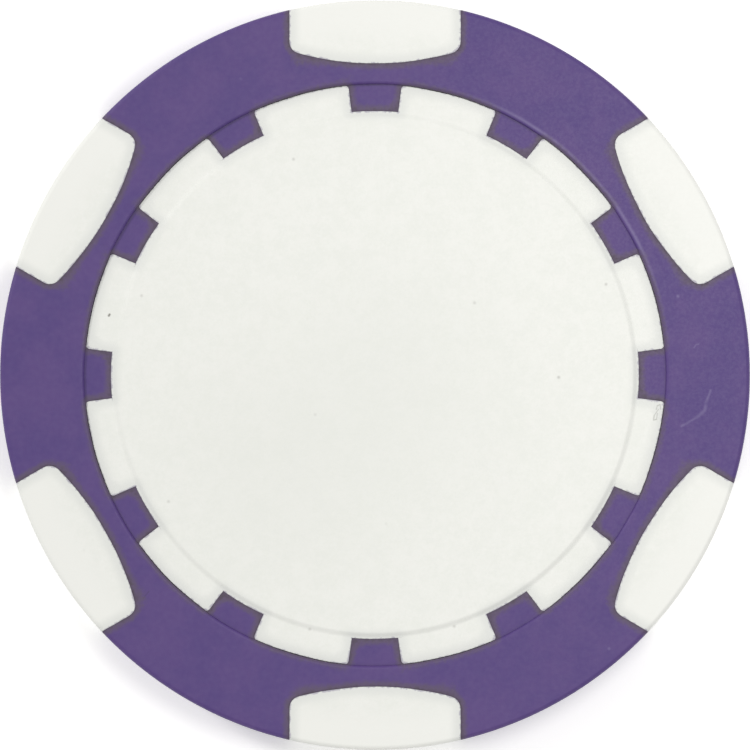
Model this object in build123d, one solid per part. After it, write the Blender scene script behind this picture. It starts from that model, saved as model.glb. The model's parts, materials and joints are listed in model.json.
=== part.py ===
from build123d import *
import math
import os

# A two-colour moulded poker chip lying flat: +Z up, origin at the centre of its lower face.
# A stamped steel slug is cast into a white core, and a purple ring is moulded over the core.
# Both faces carry the same relief. All sizes are in millimetres.

# Body
CHIP_DIAMETER = 39.0
CHIP_THICKNESS = 3.3
EDGE_ROUND = 0.35

# Relief of each face, from the rim inwards: flat land, toothed channel, raised centre pad
LAND_WIDTH = 4.4
LAND_INNER_ROUND = 0.12
CHANNEL_DEPTH = 0.2
PAD_RISE = 0.1
PAD_EDGE_ROUND = 0.06

# Teeth of the purple ring, reaching inwards along the floor of the channel
TOOTH_COUNT = 12
TOOTH_LENGTH = 1.38
TOOTH_TIP_WIDTH = 2.4
TOOTH_ROOT_WIDTH = 2.75
TOOTH_ROOT_ROUND = 0.2
TOOTH_TO_PAD_GAP = 0.15

# White spots on the edge, full height and flush with the land and the side
SPOT_COUNT = 6
SPOT_WIDTH = 8.9
SPOT_DEPTH = 3.33
SPOT_END_RADIUS = 15.6
SPOT_CORNER_ROUND = 0.65

# How the ring grips the core: two flanges, over a web that joins the spots to the centre
RING_FLANGE = 0.7
WEB_INTO_SPOT = 0.9

# Slug
SLUG_COVER = 0.55
SLUG_TO_PAD_EDGE = 0.05
SLUG_HOLE_COUNT = 6
SLUG_HOLE_DIAMETER = 3.0
SLUG_HOLE_EDGE = 4.0
SLUG_EDGE_BREAK = 0.15

# Places that follow from the sizes above
CHIP_RADIUS = CHIP_DIAMETER / 2
MID_HEIGHT = CHIP_THICKNESS / 2
CHANNEL_RADIUS = CHIP_RADIUS - LAND_WIDTH
TOOTH_TIP_RADIUS = CHANNEL_RADIUS - TOOTH_LENGTH
PAD_RADIUS = TOOTH_TIP_RADIUS - TOOTH_TO_PAD_GAP
SPOT_END = CHIP_RADIUS - SPOT_DEPTH
WEB_RADIUS = SPOT_END + WEB_INTO_SPOT
WEB_THICKNESS = CHIP_THICKNESS - 2 * RING_FLANGE
CHANNEL_THICKNESS = CHIP_THICKNESS - 2 * CHANNEL_DEPTH
PAD_THICKNESS = CHANNEL_THICKNESS + 2 * PAD_RISE
SLUG_RADIUS = PAD_RADIUS - SLUG_TO_PAD_EDGE
SLUG_THICKNESS = PAD_THICKNESS - 2 * SLUG_COVER
SLUG_HOLE_RADIUS = SLUG_HOLE_DIAMETER / 2
SLUG_HOLE_CIRCLE = SLUG_RADIUS - SLUG_HOLE_EDGE - SLUG_HOLE_RADIUS

# Teeth and spots stand at equal steps, and one of each is centred on the +Y axis
TOP_ANGLE = 90

# How far a cutting shape runs past the surface that it cuts
CUT_PAST = 0.5


def slab(outline, thickness):
    """A flat outline given a thickness, half of it on each side of the chip's middle."""
    return Pos(0, 0, MID_HEIGHT) * extrude(outline, thickness / 2, both=True)


def body_shape():
    """The whole outside of the chip as one solid, with the relief of both faces."""
    body = slab(Circle(CHIP_RADIUS), CHIP_THICKNESS)
    body = fillet(body.edges(), EDGE_ROUND)
    recess = slab(Circle(CHANNEL_RADIUS), CHIP_THICKNESS) - slab(Circle(CHANNEL_RADIUS), CHANNEL_THICKNESS)
    body = body - recess
    land_edges = [
        edge
        for edge in body.edges().filter_by(GeomType.CIRCLE)
        if math.isclose(edge.radius, CHANNEL_RADIUS)
        and math.isclose(abs(edge.center().Z - MID_HEIGHT), CHIP_THICKNESS / 2)
    ]
    body = fillet(land_edges, LAND_INNER_ROUND)
    pad = slab(Circle(PAD_RADIUS), PAD_THICKNESS)
    pad = fillet(pad.edges(), PAD_EDGE_ROUND)
    return body + pad


def tooth_outline():
    """One tooth on +X: slightly wider at its root, with a tip concentric with the chip."""
    flare = (TOOTH_ROOT_WIDTH - TOOTH_TIP_WIDTH) / 2 / TOOTH_LENGTH

    def half_width(radius):
        return TOOTH_TIP_WIDTH / 2 + flare * (radius - TOOTH_TIP_RADIUS)

    inner = TOOTH_TIP_RADIUS - CUT_PAST
    outer = CHANNEL_RADIUS + CUT_PAST
    wedge = Polygon(
        (inner, -half_width(inner)),
        (outer, -half_width(outer)),
        (outer, half_width(outer)),
        (inner, half_width(inner)),
        align=None,
    )
    return wedge - Circle(TOOTH_TIP_RADIUS)


def channel_outline():
    """The white floor of the channel and the centre: a disc notched by the teeth."""
    teeth = PolarLocations(0, TOOTH_COUNT, TOP_ANGLE) * tooth_outline()
    outline = Circle(CHANNEL_RADIUS) - teeth
    roots = [
        vertex
        for vertex in outline.vertices()
        if math.isclose(math.hypot(vertex.X, vertex.Y), CHANNEL_RADIUS, abs_tol=1e-4)
    ]
    return fillet(roots, TOOTH_ROOT_ROUND)


def spot_outline():
    """One edge spot on +X: parallel sides, and an inner end that bulges towards the centre."""
    reach = SPOT_DEPTH + CUT_PAST
    strip = Pos(SPOT_END + reach / 2, 0) * Rectangle(reach, SPOT_WIDTH)
    outline = strip & Pos(SPOT_END + SPOT_END_RADIUS, 0) * Circle(SPOT_END_RADIUS)
    inner_corners = outline.vertices().sort_by(Axis.X)[:2]
    return fillet(inner_corners, SPOT_CORNER_ROUND)


def white_region():
    """All the space of the white moulding: centre, channel blocks, web and spots."""
    notched = slab(channel_outline(), CHIP_THICKNESS)
    web = slab(Circle(WEB_RADIUS), WEB_THICKNESS)
    spots = PolarLocations(0, SPOT_COUNT, TOP_ANGLE) * slab(spot_outline(), CHIP_THICKNESS)
    return notched + web + spots


def steel_slug():
    """A stamped disc whose holes let the white plastic lock through it."""
    holes = PolarLocations(SLUG_HOLE_CIRCLE, SLUG_HOLE_COUNT, TOP_ANGLE) * Circle(SLUG_HOLE_RADIUS)
    disc = slab(Circle(SLUG_RADIUS) - holes, SLUG_THICKNESS)
    rims = [edge for edge in disc.edges().filter_by(GeomType.CIRCLE) if math.isclose(edge.radius, SLUG_RADIUS)]
    return chamfer(rims, SLUG_EDGE_BREAK)


def white_core(body, region, slug):
    """The first plastic shot, cast round the slug."""
    return (body & region) - slug


def purple_ring(body, region):
    """The second plastic shot: all of the body that the white core leaves free."""
    return body - region


def main():
    os.makedirs("parts", exist_ok=True)
    body = body_shape()
    region = white_region()
    slug = steel_slug()
    pieces = {
        "steel_slug": slug,
        "white_core": white_core(body, region, slug),
        "purple_ring": purple_ring(body, region),
    }
    for name, piece in pieces.items():
        export_step(piece, f"parts/{name}.step")


main()
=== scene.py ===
import json
import math

import bmesh
import bpy
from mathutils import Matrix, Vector, kdtree, noise


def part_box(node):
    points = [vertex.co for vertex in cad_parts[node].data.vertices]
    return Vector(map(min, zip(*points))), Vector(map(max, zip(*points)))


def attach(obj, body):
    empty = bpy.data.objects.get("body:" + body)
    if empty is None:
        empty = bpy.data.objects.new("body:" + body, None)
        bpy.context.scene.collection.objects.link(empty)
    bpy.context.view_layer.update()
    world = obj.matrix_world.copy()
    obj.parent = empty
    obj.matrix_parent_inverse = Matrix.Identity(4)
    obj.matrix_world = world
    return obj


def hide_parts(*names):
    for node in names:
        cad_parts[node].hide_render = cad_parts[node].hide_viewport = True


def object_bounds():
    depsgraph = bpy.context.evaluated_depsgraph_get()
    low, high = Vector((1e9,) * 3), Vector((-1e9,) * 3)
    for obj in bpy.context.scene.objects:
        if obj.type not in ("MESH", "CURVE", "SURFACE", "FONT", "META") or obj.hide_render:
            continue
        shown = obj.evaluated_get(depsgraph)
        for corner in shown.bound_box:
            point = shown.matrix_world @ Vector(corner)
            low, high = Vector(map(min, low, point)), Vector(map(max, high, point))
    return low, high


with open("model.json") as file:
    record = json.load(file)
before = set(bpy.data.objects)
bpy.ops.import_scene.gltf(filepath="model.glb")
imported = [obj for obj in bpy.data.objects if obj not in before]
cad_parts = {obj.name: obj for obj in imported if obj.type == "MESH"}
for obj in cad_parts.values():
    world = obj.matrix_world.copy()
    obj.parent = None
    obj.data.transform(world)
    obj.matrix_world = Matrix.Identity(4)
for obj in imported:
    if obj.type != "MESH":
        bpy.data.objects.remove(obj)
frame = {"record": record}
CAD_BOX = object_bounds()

# A poker chip of two moulded colours over a stamped steel slug, modelled round its CAD frame.
# Meshes are shaped with one unit to the millimetre, where Blender's tools work well,
# and each finished piece is then brought to metres.

bl_info = {
    "name": "Two-Shot Poker Chip",
    "version": (1, 0, 0),
    "blender": (4, 5, 0),
    "location": "3D View > Sidebar > Poker Chip",
    "description": "Builds a moulded two-colour poker chip with a steel slug, and a plain studio for it",
    "category": "Add Mesh",
}

MM = 1000.0
BODY = "root"
TOP_ANGLE = math.pi / 2
TOOTH_COUNT = 12
SPOT_COUNT = 6
SLUG_HOLE_COUNT = 6
TOOTH_PITCH = math.tau / TOOTH_COUNT
SPOT_PITCH = math.tau / SPOT_COUNT

# The blank has equal columns round it. A tooth or spot takes up so many on each side of its axis.
COLUMNS_PER_TOOTH = 29
COLUMNS = TOOTH_COUNT * COLUMNS_PER_TOOTH
COLUMN_ANGLE = math.tau / COLUMNS
TOOTH_COLUMNS = 5
SPOT_COLUMNS = 14
TOOTH_ANGLE = TOOTH_COLUMNS * COLUMN_ANGLE
SPOT_ANGLE = SPOT_COLUMNS * COLUMN_ANGLE
HOLE_COLUMNS = 48

# How many rows make a spot's rounded corner, and the soft step up to the centre pad
CORNER_STEPS = 5
PAD_STEPS = 8

# How near two places must be to count as the same, and how far off its row a vertex may be, in millimetres
SAME = 0.002
ROW_SLACK = 0.01

# Millimetres from the round and from the lip to the rows that keep the land flat beside them, and how far
# out the land is clear of the lip
RIM_ROW = 0.5
LIP_ROW = 0.7
CLEAR_OF_LIP = 0.8

# How many millimetres the teeth's columns go on sliding, inwards past the tips and outwards past the lip
PAST_TIP = 0.05
PAST_LIP = 0.4

# Half the width of the parting ridge, and how far a punch runs past its sheet, in millimetres
RIDGE_REACH = 0.05
PUNCH_PAST = 1.0

# The mould's drift, in millimetres: where it fades in round the pad and out at the rim, and its wave length
DRIFT_FADE_IN = 0.3
DRIFT_FADE_OUT = 0.5
DRIFT_WAVE = 1.7

# Folds in radians: what counts as the edge of a seam and of a punched hole, and what smoothing leaves sharp
SEAM_FOLD = math.radians(50)
HOLE_FOLD = 1.0
SMOOTH_FOLD = math.radians(40)

# How many of the nearest seam lines are measured to find the closest
SEAM_LINES_TRIED = 4

# Radii in millimetres between which the dots on the faces fade out, so that none runs down the side
DUST_FADES_FROM = 18.8
DUST_GONE_BY = 19.0

# The floor's width and thickness, in metres
FLOOR_WIDTH = 3.0
FLOOR_THICKNESS = 0.02

# From the frame: the corners of the slug's box, and the top of the centre pad
SLUG_LOW, SLUG_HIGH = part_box("steel_slug")
PAD_TOP = next(mount for mount in frame["record"]["mounts"] if mount["name"] == "centre_pad_top")

# What each vertex stores for the materials, in millimetres
SEAM_DISTANCE = "seam_distance"
FOOT_DISTANCE = "foot_distance"
LIP_DISTANCE = "lip_distance"

# Names of the finished pieces
RING_NAME = "purple_ring_moulding"
CORE_NAME = "white_core_moulding"
SLUG_NAME = "stamped_steel_slug"


def linear(hex_colour):
    """A colour written as sRGB hex, in the linear light that the shaders work in."""
    shares = [int(hex_colour[start : start + 2], 16) / 255 for start in (1, 3, 5)]
    return tuple(s / 12.92 if s <= 0.04045 else ((s + 0.055) / 1.055) ** 2.4 for s in shares)


def length_setting(name, description, default_mm):
    """A length that the user may change, given here in millimetres."""
    return bpy.props.FloatProperty(
        name=name, description=description, default=default_mm / MM, min=0.0, unit="LENGTH", precision=5
    )


def colour_setting(name, description, hex_colour):
    """A colour that the user may change, given here as sRGB hex."""
    return bpy.props.FloatVectorProperty(
        name=name,
        description=description,
        default=linear(hex_colour),
        size=3,
        min=0.0,
        max=1.0,
        subtype="COLOR",
    )


class ChipSizes(bpy.types.PropertyGroup):
    """Sizes of the chip's two mouldings and of its slug."""

    chip_diameter: length_setting(
        "Chip diameter", "Across the parting ridge", (CAD_BOX[1].x - CAD_BOX[0].x) * MM
    )
    chip_thickness: length_setting(
        "Chip thickness", "Over the lands of both faces", (CAD_BOX[1].z - CAD_BOX[0].z) * MM
    )
    edge_round: length_setting("Edge round", "Radius between each face and the side", 0.26)
    parting_ridge: length_setting("Parting ridge", "Height of the mould line round the side", 0.02)
    land_width: length_setting("Land width", "Flat band from the side to the channel", 4.4)
    land_inner_round: length_setting("Land inner round", "Radius on the channel's outer edge", 0.19)
    channel_depth: length_setting("Channel depth", "Channel floor below the land", 0.2)
    pad_slope: length_setting("Pad slope", "Width of the soft step up to the centre pad", 0.34)
    tooth_length: length_setting("Tooth length", "From the channel's outer edge inwards", 1.38)
    tooth_tip_width: length_setting("Tooth tip width", "Width of a tooth at its inner end", 2.4)
    tooth_root_width: length_setting("Tooth root width", "Width of a tooth at the channel's edge", 2.75)
    tooth_root_round: length_setting("Tooth root round", "Radius where a tooth meets the ring", 0.2)
    tooth_to_pad_gap: length_setting(
        "Tooth to pad gap", "From the teeth to the middle of the pad's step", 0.2
    )
    spot_width: length_setting("Spot width", "Width of a white edge spot", 8.9)
    spot_depth: length_setting("Spot depth", "From the side to a spot's inner end", 3.33)
    spot_end_radius: length_setting("Spot end radius", "Bulge of a spot's inner end", 15.6)
    spot_corner_round: length_setting("Spot corner round", "Radius on a spot's inner corners", 0.65)
    ring_flange: length_setting("Ring flange", "Purple over and under the white web", 0.7)
    web_into_spot: length_setting("Web into spot", "Reach of the web past a spot's inner end", 0.9)
    seam_groove: length_setting("Seam groove", "Width of the fine bevel where two colours meet", 0.035)
    mould_drift: length_setting("Mould drift", "How far seams and steps stray sideways", 0.025)
    slug_diameter: length_setting(
        "Slug diameter", "Across the steel slug", (SLUG_HIGH.y - SLUG_LOW.y) * MM
    )
    slug_hole_diameter: length_setting("Slug hole diameter", "Width of each locking hole", 3.0)
    slug_hole_edge: length_setting("Slug hole edge", "Steel between a hole and the slug's rim", 4.0)
    slug_edge_break: length_setting("Slug edge break", "Worn-off corner of the slug's rim", 0.15)
    slug_hole_break: length_setting("Slug hole break", "Rolled-in corner of each punched hole", 0.06)


class ChipColours(bpy.types.PropertyGroup):
    """Colours of the chip and of the studio."""

    white: colour_setting("White", "White of the core and the edge spots", "#EFF0EC")
    white_shade: colour_setting("White, shade", "Cloudier parts of the white", "#EAECE7")
    # The lighter white that the spots take on towards the rim
    white_towards_rim: colour_setting("White, rubbed", "White rubbed clean towards the rim", "#F0F1ED")
    # Painted shade: the darker white of the middle of the faces
    white_shaded_middle: colour_setting("White, handled", "White greyed by fingers in the middle", "#E3E5E0")
    # White greyed near a seam, by dirt and by painted shade
    white_soiled_and_shaded: colour_setting("White, soiled", "White with dirt wiped up to a seam", "#E0E2DF")
    purple_deep: colour_setting("Purple, deep", "Deeper patches of the purple", "#4C3679")
    purple_pale: colour_setting("Purple, pale", "Paler patches of the purple", "#543C7C")
    purple_thin: colour_setting("Purple, thin", "Purple where it feathers out at a seam", "#594B64")
    purple_bleed: colour_setting("Purple, bled", "Purple smeared over the white at a seam", "#8C82A0")
    seam_line: colour_setting("Seam line", "Dirt packed into the seams", "#453A47")
    # Dark of dirt in a nick, and of painted shade at the foot of the channel's wall
    dirt_and_shade: colour_setting("Grime", "Handling dirt at the foot of the channel's wall", "#2E2833")
    speck: colour_setting("Speck", "Dark specks caught in the white", "#7C7A73")
    # Pale of rubs and scratches on the purple, and of the painted highlight on the lip
    scuff_and_highlight: colour_setting("Scuff", "Pale rubs on the purple", "#8A80A8")
    steel: colour_setting("Steel", "Cold-rolled steel of the slug", "#C4C5C7")
    steel_oil: colour_setting("Steel oil", "Film of rolling oil left on the steel", "#A39E94")
    floor: colour_setting("Floor", "Opal sheet under the chip", "#FBFBFB")
    light: colour_setting("Light", "Colour of the studio lamps", "#FFFEFC")


class ChipPlan:
    """The sizes in millimetres, with the places that follow from them."""

    def __init__(self, sizes):
        def mm(name):
            return getattr(sizes, name) * MM

        self.radius = mm("chip_diameter") / 2
        self.thickness = mm("chip_thickness")
        self.middle = self.thickness / 2
        self.edge_round = mm("edge_round")
        self.body_radius = self.radius - mm("parting_ridge")
        self.flat_radius = self.body_radius - self.edge_round
        self.channel_radius = self.radius - mm("land_width")
        self.land_inner_round = mm("land_inner_round")
        self.channel_depth = mm("channel_depth")
        self.pad_height = PAD_TOP["pos_m"][2] * MM
        self.pad_rise = self.pad_height - (self.thickness - self.channel_depth)
        self.pad_slope = mm("pad_slope")
        self.tooth_tip = self.channel_radius - mm("tooth_length")
        self.tooth_tip_width = mm("tooth_tip_width")
        self.tooth_root_width = mm("tooth_root_width")
        self.tooth_root_round = mm("tooth_root_round")
        self.pad_radius = self.tooth_tip - mm("tooth_to_pad_gap")
        self.pad_foot = self.pad_radius + self.pad_slope / 2
        self.spot_width = mm("spot_width")
        self.spot_end_radius = mm("spot_end_radius")
        self.spot_corner = mm("spot_corner_round")
        spot_end = self.radius - mm("spot_depth")
        self.web_radius = spot_end + mm("web_into_spot")
        self.web_thickness = self.thickness - 2 * mm("ring_flange")
        self.seam_groove = mm("seam_groove")
        self.mould_drift = mm("mould_drift")

        # A spot's outline on +X: centres of its end arc and corner arc, then the corner's two ends
        self.end_centre = spot_end + self.spot_end_radius
        self.corner_y = self.spot_width / 2 - self.spot_corner
        to_corner = self.spot_end_radius - self.spot_corner
        self.corner_x = self.end_centre - math.sqrt(to_corner**2 - self.corner_y**2)
        stretch = self.spot_end_radius / to_corner
        near_x = self.end_centre + (self.corner_x - self.end_centre) * stretch
        self.corner_near = math.hypot(near_x, self.corner_y * stretch)
        self.corner_far = math.hypot(self.corner_x, self.spot_width / 2)

    def height(self, place):
        """How far a place is above or below the middle of the chip."""
        return abs(place.z - self.middle)

    def spot_half_angle(self, radius):
        """Angle from a spot's axis to its edge, at a radius."""
        if radius >= self.corner_far:
            return math.asin(self.spot_width / 2 / radius)
        radius = max(radius, self.corner_near)
        away = math.hypot(self.corner_x, self.corner_y)
        turn = (radius**2 + away**2 - self.spot_corner**2) / (2 * radius * away)
        return math.atan2(self.corner_y, self.corner_x) + math.acos(turn)

    def spot_end_at(self, angle):
        """Radius of a spot's inner end, at an angle from its axis."""
        across = self.end_centre * math.sin(angle)
        return self.end_centre * math.cos(angle) - math.sqrt(self.spot_end_radius**2 - across**2)

    def tooth_half_angle(self, radius):
        """Angle from a tooth's axis to its side, at a radius."""
        radius = min(max(radius, self.tooth_tip), self.channel_radius)
        flare = (self.tooth_root_width - self.tooth_tip_width) / 2 / (self.channel_radius - self.tooth_tip)
        root = self.channel_radius - self.tooth_root_round
        side = self.tooth_tip_width / 2 + flare * (min(radius, root) - self.tooth_tip)
        if radius <= root:
            return math.asin(side / radius)
        centre = math.asin(side / root) + math.asin(self.tooth_root_round / root)
        turn = (radius**2 + root**2 - self.tooth_root_round**2) / (2 * radius * root)
        return centre - math.acos(min(1.0, turn))

    def drift(self, place):
        """How far a seam or step strays sideways at a place, because no mould is dead true."""
        radius = math.hypot(place.x, place.y)
        inner = min(max((radius - self.pad_radius) / DRIFT_FADE_IN, 0.0), 1.0)
        outer = min(max((self.flat_radius - radius) / DRIFT_FADE_OUT, 0.0), 1.0)
        sway = noise.noise_vector(Vector((place.x, place.y, 0.0)) / DRIFT_WAVE)
        return Vector((sway.x, sway.y, 0.0)) * self.mould_drift * inner * outer


def radius_of(vertex):
    return math.hypot(vertex.co.x, vertex.co.y)


def off_axis(angle, pitch):
    """(angle from the nearest axis, that axis), for shapes repeated at a pitch from the top."""
    axis = TOP_ANGLE + round((angle - TOP_ANGLE) / pitch) * pitch
    return angle - axis, axis


def select_only(piece):
    """Deselects everything but one piece, in object mode."""
    bpy.ops.object.select_all(action="DESELECT")
    piece.select_set(True)
    bpy.context.view_layer.objects.active = piece


def start_edit(piece):
    select_only(piece)
    bpy.ops.object.mode_set(mode="EDIT")


def end_edit():
    bpy.ops.object.mode_set(mode="OBJECT")


def pick(piece, kind, test):
    """Selects the vertices, edges or faces that pass a test, in edit mode."""
    bpy.ops.mesh.select_mode(type=kind)
    bpy.ops.mesh.select_all(action="DESELECT")
    mesh = bmesh.from_edit_mesh(piece.data)
    parts = {"VERT": mesh.verts, "EDGE": mesh.edges, "FACE": mesh.faces}[kind]
    chosen = [part for part in parts if test(part)]
    if not chosen:
        raise RuntimeError(f"{piece.name} has no {kind.lower()} that fits: check the sizes")
    for part in chosen:
        part.select_set(True)
    mesh.select_flush_mode()
    bmesh.update_edit_mesh(piece.data)


def disc(radius, low, high, columns=COLUMNS):
    """A plain disc about the chip's axis, as the start of a shape."""
    bpy.ops.object.select_all(action="DESELECT")
    bpy.ops.mesh.primitive_cylinder_add(
        vertices=columns,
        radius=radius,
        depth=high - low,
        location=(0, 0, (low + high) / 2),
        rotation=(0, 0, TOP_ANGLE),
        end_fill_type="NGON",
    )
    bpy.ops.object.transform_apply(location=True, rotation=True, scale=True)
    return bpy.context.object


def cut_with(piece, tool, operation):
    """Joins a tool shape to a piece or cuts it away, and throws the tool away."""
    select_only(piece)
    step = piece.modifiers.new("cut", "BOOLEAN")
    step.object = tool
    step.operation = operation
    step.solver = "EXACT"
    bpy.ops.object.modifier_apply(modifier=step.name)
    bpy.data.objects.remove(tool)


def turn_blank(plan):
    """The chip's outside before any colour: a disc with rounded rims and a fine parting ridge."""
    blank = disc(plan.body_radius, 0.0, plan.thickness)
    start_edit(blank)
    pick(blank, "EDGE", lambda edge: abs(edge.verts[0].co.z - edge.verts[1].co.z) < SAME)
    bpy.ops.mesh.bevel(offset=plan.edge_round, segments=8, profile=0.5, affect="EDGES")
    bpy.ops.mesh.select_all(action="SELECT")
    bpy.ops.mesh.bisect(plane_co=(0, 0, plan.middle), plane_no=(0, 0, 1))
    pick(blank, "EDGE", lambda edge: all(plan.height(v.co) < SAME for v in edge.verts))
    bpy.ops.mesh.bevel(offset=RIDGE_REACH, segments=2, profile=0.5, affect="EDGES")
    pick(blank, "VERT", lambda vertex: plan.height(vertex.co) < SAME)
    grow = plan.radius / plan.body_radius
    bpy.ops.transform.resize(value=(grow, grow, 1), center_override=(0, 0, plan.middle))
    return blank


def press_faces(plan, blank):
    """Rows for the seams on both faces, with the channel, the step up to the pad and the land's round."""
    pick(blank, "FACE", lambda face: len(face.verts) == COLUMNS)
    corner_rows = [
        plan.corner_far + (plan.corner_near - plan.corner_far) * step / CORNER_STEPS
        for step in range(CORNER_STEPS + 1)
    ]
    lip_row = plan.channel_radius + LIP_ROW
    land_rows = [plan.flat_radius - RIM_ROW, *corner_rows, lip_row, plan.channel_radius]
    root = plan.channel_radius - plan.tooth_root_round
    root_turns = [math.radians(turn) for turn in (67.5, 45, 22.5, 0)]
    root_rows = [root + plan.tooth_root_round * math.sin(turn) for turn in root_turns]
    floor_rows = [*root_rows, (root + plan.tooth_tip) / 2, plan.tooth_tip, plan.pad_foot]
    reached = plan.flat_radius
    for row in land_rows:
        bpy.ops.mesh.inset(thickness=reached - row)
        reached = row
    bpy.ops.mesh.extrude_region_shrink_fatten(TRANSFORM_OT_shrink_fatten={"value": -plan.channel_depth})
    for row in floor_rows:
        bpy.ops.mesh.inset(thickness=reached - row)
        reached = row
    climbed = 0.0
    for step in range(1, PAD_STEPS + 1):
        share = step / PAD_STEPS
        climb = plan.pad_rise * share * share * (3 - 2 * share)
        bpy.ops.mesh.inset(thickness=plan.pad_slope / PAD_STEPS, depth=climb - climbed)
        climbed = climb

    def on_lip(edge):
        return all(
            abs(radius_of(v) - plan.channel_radius) < SAME and abs(plan.height(v.co) - plan.middle) < SAME
            for v in edge.verts
        )

    pick(blank, "EDGE", on_lip)
    bpy.ops.mesh.bevel(offset=plan.land_inner_round, segments=5, profile=0.5, affect="EDGES")

    pick(blank, "FACE", lambda face: len(face.verts) == COLUMNS)
    bpy.ops.mesh.delete(type="FACE")
    for side in (1, -1):
        pick(blank, "EDGE", lambda edge: edge.is_boundary and (edge.verts[0].co.z - plan.middle) * side > 0)
        bpy.ops.mesh.fill_grid(span=COLUMNS // 4)
    end_edit()


def is_white(plan, face):
    """Whether a face of the blank, before its columns slide, belongs to the white core."""
    centre = face.calc_center_median()
    radius = math.hypot(centre.x, centre.y)
    angle = math.atan2(centre.y, centre.x)
    from_tooth = abs(off_axis(angle, TOOTH_PITCH)[0])
    from_spot = abs(off_axis(angle, SPOT_PITCH)[0])
    if radius < plan.channel_radius - SAME and plan.height(centre) < plan.middle - SAME:
        return radius < plan.tooth_tip or from_tooth > TOOTH_ANGLE
    return radius > plan.corner_near - SAME and from_spot < SPOT_ANGLE


def slide(plan, vertex):
    """Slides a vertex sideways, so that the columns beside a seam follow its tooth's or spot's outline."""
    radius = radius_of(vertex)
    angle = math.atan2(vertex.co.y, vertex.co.x)
    on_floor = plan.tooth_tip - PAST_TIP < radius < plan.channel_radius + PAST_LIP
    on_spots = radius > plan.corner_near - ROW_SLACK
    if on_floor:
        pitch, at, to = TOOTH_PITCH, TOOTH_ANGLE, plan.tooth_half_angle(radius)
    elif on_spots:
        pitch, at, to = SPOT_PITCH, SPOT_ANGLE, plan.spot_half_angle(radius)
    else:
        return
    offset, axis = off_axis(angle, pitch)
    share = abs(offset) / at
    if share <= 1:
        moved = share * to
    else:
        moved = to + (abs(offset) - at) * (pitch / 2 - to) / (pitch / 2 - at)
    if on_spots and share < 0.999 and radius < plan.flat_radius - ROW_SLACK:
        end = plan.spot_end_at(share * plan.spot_half_angle(plan.corner_near))
        squeeze = (plan.flat_radius - end) / (plan.flat_radius - plan.corner_near)
        radius = end + (radius - plan.corner_near) * squeeze
    turned = axis + math.copysign(moved, offset)
    vertex.co.x, vertex.co.y = radius * math.cos(turned), radius * math.sin(turned)


def part_shots(plan, blank, ring_material, core_material):
    """Colours the blank by shot, slides its seams into place and parts it into ring skin and core skin."""
    blank.data.materials.append(ring_material)
    blank.data.materials.append(core_material)
    start_edit(blank)
    mesh = bmesh.from_edit_mesh(blank.data)
    for face in mesh.faces:
        face.material_index = int(is_white(plan, face))
    for vertex in mesh.verts:
        slide(plan, vertex)
    bmesh.update_edit_mesh(blank.data)
    bpy.ops.mesh.select_all(action="SELECT")
    bpy.ops.mesh.separate(type="MATERIAL")
    end_edit()
    skins = {}
    for skin in bpy.context.selected_objects:
        shown = skin.data.materials[skin.data.polygons[0].material_index]
        skin.data.materials.clear()
        skin.data.materials.append(shown)
        for face in skin.data.polygons:
            face.material_index = 0
        skins[shown] = skin
    return skins[ring_material], skins[core_material]


def seam_segments(skin):
    """The seam between the two colours, as the short lines round a skin's open edge."""
    mesh = bmesh.new()
    mesh.from_mesh(skin.data)
    segments = [tuple(v.co.copy() for v in edge.verts) for edge in mesh.edges if edge.is_boundary]
    mesh.free()
    return segments


def close_walls(plan, skin):
    """Gives a skin its walls along the seams, straight through from one face to the other."""
    floor_height = plan.middle - plan.channel_depth

    def on_channel(edge):
        return edge.is_boundary and all(
            v.co.z > plan.middle and radius_of(v) < plan.channel_radius + 0.1 for v in edge.verts
        )

    def on_spot_end(edge):
        return edge.is_boundary and all(
            v.co.z > plan.thickness - SAME
            and plan.channel_radius + CLEAR_OF_LIP < radius_of(v) < plan.corner_far + SAME
            for v in edge.verts
        )

    start_edit(skin)
    pick(skin, "EDGE", on_channel)
    bpy.ops.mesh.extrude_region_move(TRANSFORM_OT_translate={"value": (0, 0, -2 * floor_height)})
    pick(skin, "EDGE", on_spot_end)
    bpy.ops.mesh.extrude_region_move(TRANSFORM_OT_translate={"value": (0, 0, -plan.thickness)})
    bpy.ops.mesh.select_all(action="SELECT")
    bpy.ops.mesh.remove_doubles(threshold=SAME / 10)
    bpy.ops.mesh.select_all(action="SELECT")
    bpy.ops.mesh.fill_holes(sides=0)
    bpy.ops.mesh.select_all(action="SELECT")
    bpy.ops.mesh.normals_make_consistent(inside=False)
    end_edit()


def fit_web(plan, piece, operation):
    """The flat web that joins the white spots to the centre: part of the core, and a slot in the ring."""
    half = plan.web_thickness / 2
    web = disc(plan.web_radius, plan.middle - half, plan.middle + half)
    cut_with(piece, web, operation)


def ease_seams(plan, piece):
    """Takes the sharpness off the edges where the colours meet, which leaves the seam's fine groove."""
    buried = plan.web_thickness / 2 + SAME

    def at_surface(edge):
        if len(edge.link_faces) != 2 or edge.calc_face_angle_signed(0) < SEAM_FOLD:
            return False
        along = (edge.verts[0].co - edge.verts[1].co).xy.length > SAME
        outside = all(plan.height(v.co) > buried for v in edge.verts)
        on_side = all(radius_of(v) > plan.flat_radius for v in edge.verts)
        return outside and along or on_side

    start_edit(piece)
    pick(piece, "EDGE", at_surface)
    bpy.ops.mesh.bevel(
        offset=plan.seam_groove, segments=2, profile=0.5, affect="EDGES", clamp_overlap=False
    )
    end_edit()


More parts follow.
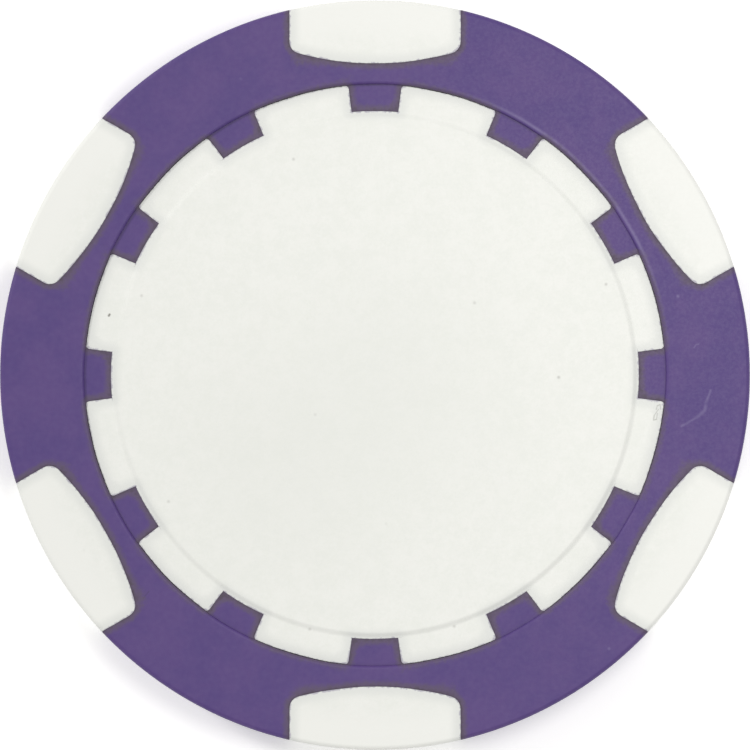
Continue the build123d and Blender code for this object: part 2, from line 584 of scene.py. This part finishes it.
def weather(plan, piece, segments):
    """Lets the mould's drift move the seams, and stores how far each vertex is from the seams, from the
    foot of the channel's wall and from the lip above it."""
    foot = Vector((plan.channel_radius, plan.middle - plan.channel_depth))
    lip = Vector((plan.channel_radius + plan.land_inner_round, plan.middle))
    from_foot, from_lip = [], []
    for vertex in piece.data.vertices:
        section = Vector((radius_of(vertex), plan.height(vertex.co)))
        from_foot.append((section - foot).length)
        from_lip.append((section - lip).length)
        vertex.co += plan.drift(vertex.co)
    ends = [tuple(end + plan.drift(end) for end in segment) for segment in segments]
    tree = kdtree.KDTree(len(ends))
    for index, (start, stop) in enumerate(ends):
        tree.insert((start + stop) / 2, index)
    tree.balance()
    nearest = []
    for vertex in piece.data.vertices:
        best = math.inf
        for _, index, _ in tree.find_n(vertex.co, SEAM_LINES_TRIED):
            start, stop = ends[index]
            line = stop - start
            share = min(max((vertex.co - start).dot(line) / line.length_squared, 0.0), 1.0)
            best = min(best, (vertex.co - start - line * share).length)
        nearest.append(best)
    stored = {SEAM_DISTANCE: nearest, FOOT_DISTANCE: from_foot, LIP_DISTANCE: from_lip}
    for name, distances in stored.items():
        attribute = piece.data.attributes.new(name, "FLOAT", "POINT")
        attribute.data.foreach_set("value", distances)


def finish_piece(piece, name, node):
    """Smooths a piece, brings it from millimetres to metres, and hangs it on the frame for its node."""
    select_only(piece)
    piece.name = name
    piece.data.name = name
    bpy.ops.object.shade_smooth_by_angle(angle=SMOOTH_FOLD)
    step = piece.modifiers.new("even normals", "WEIGHTED_NORMAL")
    step.keep_sharp = True
    bpy.ops.object.modifier_apply(modifier=step.name)
    bpy.ops.transform.resize(value=(1 / MM, 1 / MM, 1 / MM), center_override=(0, 0, 0))
    bpy.ops.object.transform_apply(location=True, rotation=True, scale=True)
    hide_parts(node)
    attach(piece, BODY)


def stamp_slug(sizes):
    """The slug in millimetres: a stamped disc, with holes that the white plastic locks through."""
    radius = sizes.slug_diameter * MM / 2
    low, high = SLUG_LOW.z * MM, SLUG_HIGH.z * MM
    hole = sizes.slug_hole_diameter * MM / 2
    circle = radius - sizes.slug_hole_edge * MM - hole
    slug = disc(radius, low, high, COLUMNS // 2)
    punch = disc(hole, low - PUNCH_PAST, high + PUNCH_PAST, HOLE_COLUMNS)
    start_edit(punch)
    bpy.ops.mesh.select_all(action="SELECT")
    bpy.ops.transform.translate(value=(0, circle, 0))
    bpy.ops.mesh.spin(
        steps=SLUG_HOLE_COUNT,
        angle=math.tau,
        dupli=True,
        center=(0, 0, 0),
        axis=(0, 0, 1),
        use_auto_merge=False,
    )
    bpy.ops.mesh.select_all(action="SELECT")
    bpy.ops.mesh.remove_doubles(threshold=SAME)
    end_edit()
    cut_with(slug, punch, "DIFFERENCE")
    start_edit(slug)
    levels = [low, high]

    def rim(edge):
        return edge_on_level(edge, levels) and all(radius_of(v) > radius - 0.1 for v in edge.verts)

    def hole_edge(edge):
        inside = radius_of(edge.verts[0]) < radius - 0.5
        return inside and edge_on_level(edge, levels) and edge.calc_face_angle(0) > HOLE_FOLD

    pick(slug, "EDGE", rim)
    bpy.ops.mesh.bevel(offset=sizes.slug_edge_break * MM, segments=3, profile=0.5, affect="EDGES")
    pick(slug, "EDGE", hole_edge)
    bpy.ops.mesh.bevel(offset=sizes.slug_hole_break * MM, segments=2, profile=0.5, affect="EDGES")
    end_edit()
    return slug


def edge_on_level(edge, levels):
    """Whether an edge lies flat at one of some heights."""
    return any(all(abs(v.co.z - level) < SAME for v in edge.verts) for level in levels)


def add_cavity(core, slug_mesh):
    """The hollow that the slug fills: a copy of its shape turned inside out, in the core's own mesh."""
    hollow = bpy.data.objects.new("hollow", slug_mesh.copy())
    bpy.context.scene.collection.objects.link(hollow)
    hollow.data.materials.clear()
    start_edit(hollow)
    bpy.ops.mesh.select_all(action="SELECT")
    bpy.ops.mesh.flip_normals()
    end_edit()
    hollow.select_set(True)
    core.select_set(True)
    bpy.context.view_layer.objects.active = core
    bpy.ops.object.join()


def add_node(tree, kind, settings, inputs):
    """Adds a node with its settings. Each input is given a value, a colour of three channels, an output
    that feeds it, or a node whose first output in use does."""
    made = tree.nodes.new(kind)
    for name, value in settings.items():
        setattr(made, name, value)
    for name, value in inputs.items():
        if isinstance(value, bpy.types.Node):
            value = next(output for output in value.outputs if output.enabled)
        if isinstance(value, bpy.types.NodeSocket):
            tree.links.new(value, made.inputs[name])
        elif made.inputs[name].type == "RGBA":
            made.inputs[name].default_value = (*value, 1.0)
        else:
            made.inputs[name].default_value = value
    return made


# Kinds of node with the settings that they have here
NOISE = ("ShaderNodeTexNoise", {})
CELLS = ("ShaderNodeTexVoronoi", {"voronoi_dimensions": "2D"})
SPREAD = ("ShaderNodeMapRange", {"interpolation_type": "SMOOTHSTEP"})
PLUS = ("ShaderNodeMath", {"operation": "ADD"})
TIMES = ("ShaderNodeMath", {"operation": "MULTIPLY"})
GREATER = ("ShaderNodeMath", {"operation": "MAXIMUM"})
LESS_PLACE = ("ShaderNodeVectorMath", {"operation": "SUBTRACT"})
TIMES_PLACE = ("ShaderNodeVectorMath", {"operation": "MULTIPLY"})
LENGTH = ("ShaderNodeVectorMath", {"operation": "LENGTH"})
DOT = ("ShaderNodeVectorMath", {"operation": "DOT_PRODUCT"})
SCALED = ("ShaderNodeVectorMath", {"operation": "SCALE"})
APART = ("ShaderNodeVectorMath", {"operation": "DISTANCE"})
CLAMP = ("ShaderNodeClamp", {})
BUMP = ("ShaderNodeBump", {})
BLEND = ("ShaderNodeMix", {"data_type": "RGBA"})


def per_mm(size):
    """Texture scale for a pattern whose features are so many millimetres across, on metre coordinates."""
    return MM / size


def new_material(name, colour):
    """An empty material: itself, its tree, its shader and its object coordinates."""
    material = bpy.data.materials.new(name)
    material.use_nodes = True
    material.diffuse_color = (*colour, 1.0)
    tree = material.node_tree
    tree.nodes.clear()
    shader = add_node(tree, "ShaderNodeBsdfPrincipled", {}, {})
    add_node(tree, "ShaderNodeOutputMaterial", {}, {"Surface": shader})
    place = add_node(tree, "ShaderNodeTexCoord", {}, {}).outputs["Object"]
    return material, tree, shader, place


def stroke(tree, place, start, stop, width):
    """1 along a straight mark and 0 away from it, for ends and a width in millimetres."""
    start, stop = Vector(start) / MM, Vector(stop) / MM
    line = stop - start
    reach = add_node(tree, *LESS_PLACE, {0: place, 1: start})
    share = add_node(tree, *DOT, {0: reach, 1: line / line.length_squared})
    held = add_node(tree, *CLAMP, {"Value": share})
    along = add_node(tree, *SCALED, {0: line, "Scale": held})
    gap = add_node(tree, *APART, {0: reach, 1: along})
    return add_node(tree, *SPREAD, {"Value": gap, "From Max": width / MM, "To Min": 1.0, "To Max": 0.0})


def from_axis(tree, place):
    """How far a place is from the chip's axis."""
    flat = add_node(tree, *TIMES_PLACE, {0: place, 1: (1.0, 1.0, 0.0)})
    return add_node(tree, *LENGTH, {0: flat})


def dust(tree, place, spacing, size, most):
    """Fine dots on the faces and none on the side, one in each cell of a spacing, some hardly there."""
    cells = add_node(tree, *CELLS, {"Vector": place, "Scale": per_mm(spacing)})
    dots = add_node(
        tree, *SPREAD, {"Value": cells, "From Max": size / spacing, "To Min": 1.0, "To Max": 0.0}
    )
    strong = add_node(
        tree, *SPREAD, {"Value": cells.outputs["Color"], "From Min": 0.35, "From Max": 0.95, "To Max": most}
    )
    on_face = add_node(
        tree,
        *SPREAD,
        {
            "Value": from_axis(tree, place),
            "From Min": DUST_FADES_FROM / MM,
            "From Max": DUST_GONE_BY / MM,
            "To Min": 1.0,
            "To Max": 0.0,
        },
    )
    seen = add_node(tree, *TIMES, {0: strong, 1: on_face})
    return add_node(tree, *TIMES, {0: dots, 1: seen})


def marks(tree, place, height, points, width):
    """1 along a mark on a face, from point to point, and finer towards its two ends. All in millimetres."""
    total = 0.0
    last = len(points) - 2
    for step in range(last + 1):
        fine = width * (0.7 if step in (0, last) else 1.0)
        piece = stroke(tree, place, (*points[step], height), (*points[step + 1], height), fine)
        total = add_node(tree, *GREATER, {0: total, 1: piece})
    return total


def wandering(tree, place, distance, reach):
    """A distance that strays by so many millimetres each way, so that what follows it has a ragged edge."""
    jags = add_node(tree, *NOISE, {"Vector": place, "Scale": per_mm(0.2), "Detail": 3.0, "Roughness": 0.6})
    stray = add_node(
        tree,
        *SPREAD,
        {"Value": jags, "From Min": 0.32, "From Max": 0.68, "To Min": -reach, "To Max": reach},
    )
    return add_node(tree, *PLUS, {0: distance, 1: stray})


def dirt_and_shade(tree, place, distance, width, most):
    """Darkening along a line, as dirt in a seam and as painted shade at the foot of a wall: most on it,
    uneven along its length, gone within a width in millimetres.
    """
    patchy = add_node(tree, *NOISE, {"Vector": place, "Scale": per_mm(0.9), "Detail": 4.0})
    uneven = add_node(
        tree,
        *SPREAD,
        {"Value": patchy, "From Min": 0.25, "From Max": 0.7, "To Min": 0.45 * most, "To Max": most},
    )
    near = add_node(tree, *SPREAD, {"Value": distance, "From Max": width, "To Min": 1.0, "To Max": 0.0})
    return add_node(tree, *TIMES, {0: uneven, 1: near})


def satin_skin(tree, place, shader, smoothest, roughest):
    """The moulded skin: a fine spark-eroded grain over a slow shrinkage wave, and how rough the grain is.
    Real erosion grain is about 0.03 mm, drawn at 0.14 mm so that it shows."""
    grain = add_node(tree, *NOISE, {"Vector": place, "Scale": per_mm(0.14), "Detail": 3.0})
    wave = add_node(tree, *NOISE, {"Vector": place, "Scale": per_mm(2.4), "Detail": 1.0})
    low = add_node(tree, *BUMP, {"Height": wave, "Distance": 0.004 / MM})
    high = add_node(tree, *BUMP, {"Height": grain, "Distance": 0.0045 / MM, "Normal": low})
    rough = add_node(
        tree,
        *SPREAD,
        {"Value": grain, "From Min": 0.3, "From Max": 0.7, "To Min": smoothest, "To Max": roughest},
    )
    tree.links.new(high.outputs["Normal"], shader.inputs["Normal"])
    tree.links.new(rough.outputs["Result"], shader.inputs["Roughness"])
    shader.inputs["IOR"].default_value = 1.54


def make_white_abs(colours, plan):
    """White ABS, injection moulded in a finely spark-eroded mould. The eye gets a soft satin white with a
    fine grain and barely seen clouds, painted shade in the middle of the faces, spots lighter towards the
    rim, and along its seams dirt with painted shade and bled purple."""
    material, tree, shader, place = new_material("moulded white ABS", colours.white)
    floor = plan.thickness - plan.channel_depth
    clouds = add_node(
        tree, *NOISE, {"Vector": place, "Scale": per_mm(1.3), "Detail": 6.0, "Roughness": 0.95}
    )
    cloudy = add_node(tree, *SPREAD, {"Value": clouds, "From Min": 0.37, "From Max": 0.63})
    colour = add_node(tree, *BLEND, {"Factor": cloudy, "A": colours.white_shade, "B": colours.white})

    # The spots grow lighter towards the rim
    radius = from_axis(tree, place)
    towards_rim = add_node(tree, *SPREAD, {"Value": radius, "From Min": 16.9 / MM, "From Max": 18.6 / MM})
    colour = add_node(tree, *BLEND, {"Factor": towards_rim, "A": colour, "B": colours.white_towards_rim})

    # Painted shade: the middle of the faces is darker, as if less light fell there
    middle = stroke(tree, place, (-4.0, -4.0, floor), (0.5, -1.0, floor), 11.0)
    middle_shade = add_node(tree, *TIMES, {0: middle, 1: 0.5})
    colour = add_node(tree, *BLEND, {"Factor": middle_shade, "A": colour, "B": colours.white_shaded_middle})

    # Dirt and painted shade grey the white up against a seam, then purple that bled over it in a ragged
    # fringe
    to_seam = add_node(tree, "ShaderNodeAttribute", {"attribute_name": SEAM_DISTANCE}, {}).outputs["Fac"]
    seam_soil_and_shade = add_node(
        tree, *SPREAD, {"Value": to_seam, "From Min": 0.1, "From Max": 0.7, "To Min": 0.9, "To Max": 0.0}
    )
    colour = add_node(tree, *BLEND, {"Factor": seam_soil_and_shade, "A": colour, "B": colours.white_soiled_and_shaded})
    ragged = wandering(tree, place, to_seam, 0.05)
    bled = add_node(
        tree, *SPREAD, {"Value": ragged, "From Min": 0.0, "From Max": 0.08, "To Min": 0.6, "To Max": 0.0}
    )
    colour = add_node(tree, *BLEND, {"Factor": bled, "A": colour, "B": colours.purple_bleed})

    # Dark specks caught in the plastic, far apart, some of them hardly there
    specks = dust(tree, place, 6.0, 0.14, 0.4)
    colour = add_node(tree, *BLEND, {"Factor": specks, "A": colour, "B": colours.speck})
    speck = marks(tree, place, floor, ((-13.82, 3.08), (-13.78, 3.14)), 0.14)
    colour = add_node(tree, *BLEND, {"Factor": speck, "A": colour, "B": colours.speck})

    # A curl of grey left by something sticky
    hook = marks(tree, place, floor, ((14.6, -1.8), (14.66, -1.6), (14.8, -1.54), (14.84, -1.78)), 0.06)
    loop_points = ((14.72, -1.78), (14.5, -2.1), (14.46, -2.34), (14.62, -2.3), (14.66, -1.98))
    loop = marks(tree, place, floor, loop_points, 0.06)
    curl = add_node(tree, *GREATER, {0: hook, 1: loop})
    faint = add_node(tree, *TIMES, {0: curl, 1: 0.42})
    colour = add_node(tree, *BLEND, {"Factor": faint, "A": colour, "B": colours.speck})
    tree.links.new(colour.outputs["Result"], shader.inputs["Base Color"])
    satin_skin(tree, place, shader, 0.5, 0.62)
    return material


def make_purple_abs(colours, plan):
    """Purple ABS, the second shot from the same kind of mould. The eye gets a satin purple, deeper in one
    patch than in the next, with dark ragged seams, a few pale rubs and scratches, a painted highlight on
    one side of the lip over the channel, and painted shade at the foot of the channel's wall."""
    material, tree, shader, place = new_material("moulded purple ABS", colours.purple_deep)
    top = plan.thickness
    patches = add_node(
        tree, *NOISE, {"Vector": place, "Scale": per_mm(3.2), "Detail": 5.0, "Roughness": 0.7}
    )
    paler = add_node(tree, *SPREAD, {"Value": patches, "From Min": 0.36, "From Max": 0.64})
    colour = add_node(tree, *BLEND, {"Factor": paler, "A": colours.purple_deep, "B": colours.purple_pale})
    fine = add_node(tree, *NOISE, {"Vector": place, "Scale": per_mm(0.28), "Detail": 2.0})
    mottle = add_node(tree, *SPREAD, {"Value": fine, "From Min": 0.3, "From Max": 0.8, "To Max": 0.05})
    colour = add_node(tree, *BLEND, {"Factor": mottle, "A": colour, "B": colours.scuff_and_highlight})

    # Dust-fine pale flecks, far apart
    flecks = dust(tree, place, 4.3, 0.13, 0.5)
    colour = add_node(tree, *BLEND, {"Factor": flecks, "A": colour, "B": colours.scuff_and_highlight})

    # A long pale scratch that comes and goes, a short arc near it, and a dark nick
    fading = add_node(tree, *NOISE, {"Vector": place, "Scale": per_mm(0.6), "Detail": 2.0})
    shown = add_node(
        tree, *SPREAD, {"Value": fading, "From Min": 0.3, "From Max": 0.65, "To Min": 0.08, "To Max": 0.36}
    )
    line_points = ((17.42, -0.8), (17.2, -1.35), (17.1, -1.85), (16.7, -2.2), (15.9, -2.66))
    line = marks(tree, place, top, line_points, 0.15)
    scratch = add_node(tree, *TIMES, {0: line, 1: shown})
    colour = add_node(tree, *BLEND, {"Factor": scratch, "A": colour, "B": colours.scuff_and_highlight})
    arc_line = marks(tree, place, top, ((16.56, 1.42), (16.64, 1.56), (16.78, 1.6)), 0.1)
    arc = add_node(tree, *TIMES, {0: arc_line, 1: 0.3})
    colour = add_node(tree, *BLEND, {"Factor": arc, "A": colour, "B": colours.scuff_and_highlight})
    nick_line = marks(tree, place, top, ((-12.05, -11.62), (-11.92, -11.45), (-11.72, -11.22)), 0.08)
    nick = add_node(tree, *TIMES, {0: nick_line, 1: 0.3})
    colour = add_node(tree, *BLEND, {"Factor": nick, "A": colour, "B": colours.dirt_and_shade})

    # Painted highlight: the lip over the channel is paler on one side, as if it caught the light
    from_lip = add_node(tree, "ShaderNodeAttribute", {"attribute_name": LIP_DISTANCE}, {}).outputs["Fac"]
    lip = add_node(tree, *SPREAD, {"Value": from_lip, "From Max": 0.16, "To Min": 0.42, "To Max": 0.0})
    lit_side = stroke(tree, place, (13.5, 7.2, top), (8.6, 12.7, top), 6.0)
    lip_highlight = add_node(tree, *TIMES, {0: lip, 1: lit_side})
    colour = add_node(tree, *BLEND, {"Factor": lip_highlight, "A": colour, "B": colours.scuff_and_highlight})

    # The purple thins to grey at a seam, with dirt packed into the seam itself
    to_seam = add_node(tree, "ShaderNodeAttribute", {"attribute_name": SEAM_DISTANCE}, {}).outputs["Fac"]
    ragged = wandering(tree, place, to_seam, 0.05)
    thin = add_node(
        tree, *SPREAD, {"Value": ragged, "From Min": 0.12, "From Max": 0.42, "To Min": 0.85, "To Max": 0.0}
    )
    colour = add_node(tree, *BLEND, {"Factor": thin, "A": colour, "B": colours.purple_thin})
    dirt = dirt_and_shade(tree, place, ragged, 0.16, 0.8)
    colour = add_node(tree, *BLEND, {"Factor": dirt, "A": colour, "B": colours.seam_line})
    # Painted shade at the foot of the channel's wall, strongest on the upper side of the chip
    to_foot = add_node(tree, "ShaderNodeAttribute", {"attribute_name": FOOT_DISTANCE}, {}).outputs["Fac"]
    shade_along_foot = dirt_and_shade(tree, place, to_foot, 0.16, 1.0)
    shaded_side = stroke(tree, place, (4.5, 14.4, top), (-10.7, 10.7, top), 11.0)
    shade_strength = add_node(tree, *SPREAD, {"Value": shaded_side, "To Min": 0.12, "To Max": 0.4})
    foot_shade = add_node(tree, *TIMES, {0: shade_along_foot, 1: shade_strength})
    colour = add_node(tree, *BLEND, {"Factor": foot_shade, "A": colour, "B": colours.dirt_and_shade})
    tree.links.new(colour.outputs["Result"], shader.inputs["Base Color"])
    satin_skin(tree, place, shader, 0.52, 0.64)
    return material


def make_steel(colours):
    """Cold-rolled low-carbon steel, stamped from strip. The eye gets a grey metal with a fine grain along
    the rolling direction and a faint brown film of rolling oil."""
    material, tree, shader, place = new_material("cold-rolled steel", colours.steel)
    drawn_out = add_node(tree, "ShaderNodeMapping", {}, {"Vector": place, "Scale": (0.04, 1.0, 1.0)})
    lines = add_node(tree, *NOISE, {"Vector": drawn_out, "Scale": per_mm(0.12), "Detail": 4.0})
    film = add_node(tree, *NOISE, {"Vector": place, "Scale": per_mm(6.0), "Detail": 3.0})
    oily = add_node(tree, *SPREAD, {"Value": film, "From Min": 0.45, "From Max": 0.75, "To Max": 0.5})
    colour = add_node(tree, *BLEND, {"Factor": oily, "A": colours.steel, "B": colours.steel_oil})
    rough = add_node(
        tree, *SPREAD, {"Value": lines, "From Min": 0.3, "From Max": 0.7, "To Min": 0.28, "To Max": 0.42}
    )
    grain = add_node(tree, *BUMP, {"Height": lines, "Distance": 0.003 / MM})
    tree.links.new(colour.outputs["Result"], shader.inputs["Base Color"])
    tree.links.new(rough.outputs["Result"], shader.inputs["Roughness"])
    tree.links.new(grain.outputs["Normal"], shader.inputs["Normal"])
    shader.inputs["Metallic"].default_value = 1.0
    return material


def make_opal_acrylic(colours):
    """Opal acrylic, cast in sheet and lit from below as a light table is. The eye gets an even pale ground
    that takes only a faint shadow."""
    material, tree, shader, place = new_material("opal acrylic sheet", colours.floor)
    milky = add_node(tree, *NOISE, {"Vector": place, "Scale": per_mm(40.0), "Detail": 3.0})
    duller = [channel * 0.985 for channel in colours.floor]
    colour = add_node(tree, *BLEND, {"Factor": milky, "A": duller, "B": colours.floor})
    tree.links.new(colour.outputs["Result"], shader.inputs["Base Color"])
    shader.inputs["Roughness"].default_value = 0.6
    shader.inputs["IOR"].default_value = 1.49
    shader.inputs["Emission Color"].default_value = (*colours.floor, 1.0)
    shader.inputs["Emission Strength"].default_value = 0.3
    return material


class POKERCHIP_OT_steel_slug(bpy.types.Operator):
    """Stamp the steel slug that gives the chip its weight"""

    bl_idname = "poker_chip.steel_slug"
    bl_label = "Steel Slug"
    bl_options = {"REGISTER", "UNDO"}

    def execute(self, context):
        sizes = context.scene.poker_chip_sizes
        slug = stamp_slug(sizes)
        slug.data.materials.append(make_steel(context.scene.poker_chip_colours))
        finish_piece(slug, SLUG_NAME, "steel_slug")
        return {"FINISHED"}


class POKERCHIP_OT_two_shot_body(bpy.types.Operator):
    """Turn one blank, draw the seams on it, and part it into the purple ring and the white core"""

    bl_idname = "poker_chip.two_shot_body"
    bl_label = "Ring and Core"
    bl_options = {"REGISTER", "UNDO"}

    def execute(self, context):
        sizes = context.scene.poker_chip_sizes
        colours = context.scene.poker_chip_colours
        plan = ChipPlan(sizes)
        blank = turn_blank(plan)
        press_faces(plan, blank)
        purple, white = make_purple_abs(colours, plan), make_white_abs(colours, plan)
        ring, core = part_shots(plan, blank, purple, white)
        segments = seam_segments(ring)
        for skin, operation in ((ring, "DIFFERENCE"), (core, "UNION")):
            close_walls(plan, skin)
            fit_web(plan, skin, operation)
            ease_seams(plan, skin)
        hollow = stamp_slug(sizes)
        add_cavity(core, hollow.data)
        bpy.data.objects.remove(hollow)
        for piece in (ring, core):
            weather(plan, piece, segments)
        finish_piece(ring, RING_NAME, "purple_ring")
        finish_piece(core, CORE_NAME, "white_core")
        return {"FINISHED"}


class POKERCHIP_OT_studio(bpy.types.Operator):
    """Lay the pale floor and set the soft lamps and the camera above the chip"""

    bl_idname = "poker_chip.studio"
    bl_label = "Studio"
    bl_options = {"REGISTER", "UNDO"}

    def execute(self, context):
        colours = context.scene.poker_chip_colours
        plan = ChipPlan(context.scene.poker_chip_sizes)
        lay_floor(colours)
        hang_lamps(colours)
        set_camera(plan)
        context.scene.view_settings.view_transform = "Standard"
        return {"FINISHED"}


def lay_floor(colours):
    """A wide sheet with its top at the height that the chip stands on."""
    bpy.ops.object.select_all(action="DESELECT")
    bpy.ops.mesh.primitive_plane_add(size=FLOOR_WIDTH, location=(0, 0, 0))
    floor = bpy.context.object
    floor.name = "light_table"
    start_edit(floor)
    bpy.ops.mesh.select_all(action="SELECT")
    bpy.ops.mesh.extrude_region_move(TRANSFORM_OT_translate={"value": (0, 0, -FLOOR_THICKNESS)})
    bpy.ops.mesh.select_all(action="SELECT")
    bpy.ops.mesh.normals_make_consistent(inside=False)
    end_edit()
    floor.data.materials.append(make_opal_acrylic(colours))


def hang_lamps(colours):
    """A soft lamp close above on the right, a further one from the left that draws the relief, and an even
    glow from the room."""
    lamps = (
        ("close lamp", 26, 73, 0.11, 0.05, 0.040),
        ("relief lamp", 147, 35, 1.2, 0.2, 4.1),
    )
    for name, azimuth, elevation, distance, size, watts in lamps:
        lamp = bpy.data.lights.new(name, "AREA")
        lamp.shape = "DISK"
        lamp.size = size
        lamp.energy = watts
        lamp.color = colours.light
        turn, tilt = math.radians(azimuth), math.radians(elevation)
        away = Vector((math.cos(turn) * math.cos(tilt), math.sin(turn) * math.cos(tilt), math.sin(tilt)))
        holder = bpy.data.objects.new(name, lamp)
        holder.location = away * distance
        holder.rotation_euler = away.to_track_quat("Z", "Y").to_euler()
        holder.visible_camera = False
        bpy.context.scene.collection.objects.link(holder)
    world = bpy.data.worlds.new("even room")
    world.use_nodes = True
    world.node_tree.nodes.clear()
    glow = add_node(
        world.node_tree, "ShaderNodeBackground", {}, {"Color": colours.light, "Strength": 0.54}
    )
    add_node(world.node_tree, "ShaderNodeOutputWorld", {}, {"Surface": glow})
    bpy.context.scene.world = world


def set_camera(plan):
    """A long lens straight above, just far enough for the chip's outline to fill the square view."""
    camera = bpy.data.cameras.new("overhead camera")
    camera.sensor_width = 36.0
    camera.lens = 250.0
    half_view = math.atan(camera.sensor_width / 2 / camera.lens)
    widest = plan.flat_radius + plan.edge_round * math.cos(half_view)
    seen_at = plan.thickness - plan.edge_round * (1 - math.sin(half_view))
    holder = bpy.data.objects.new("overhead camera", camera)
    holder.location = (0, 0, (seen_at + widest / math.tan(half_view)) / MM)
    bpy.context.scene.collection.objects.link(holder)
    bpy.context.scene.camera = holder


class VIEW3D_PT_poker_chip(bpy.types.Panel):
    """Builds the poker chip and its studio"""

    bl_label = "Poker Chip"
    bl_space_type = "VIEW_3D"
    bl_region_type = "UI"
    bl_category = "Poker Chip"

    def draw(self, context):
        for step in STEPS:
            self.layout.operator(step.bl_idname)
        for group in (context.scene.poker_chip_sizes, context.scene.poker_chip_colours):
            box = self.layout.box()
            for name in group.bl_rna.properties.keys():
                if name not in ("rna_type", "name"):
                    box.prop(group, name)


STEPS = (POKERCHIP_OT_steel_slug, POKERCHIP_OT_two_shot_body, POKERCHIP_OT_studio)
CLASSES = (ChipSizes, ChipColours, *STEPS, VIEW3D_PT_poker_chip)


def register():
    for made in CLASSES:
        bpy.utils.register_class(made)
    bpy.types.Scene.poker_chip_sizes = bpy.props.PointerProperty(type=ChipSizes)
    bpy.types.Scene.poker_chip_colours = bpy.props.PointerProperty(type=ChipColours)


def unregister():
    del bpy.types.Scene.poker_chip_sizes
    del bpy.types.Scene.poker_chip_colours
    for made in reversed(CLASSES):
        bpy.utils.unregister_class(made)


def main():
    register()
    bpy.ops.poker_chip.steel_slug()
    bpy.ops.poker_chip.two_shot_body()
    bpy.ops.poker_chip.studio()


if __name__ == "__main__":
    main()
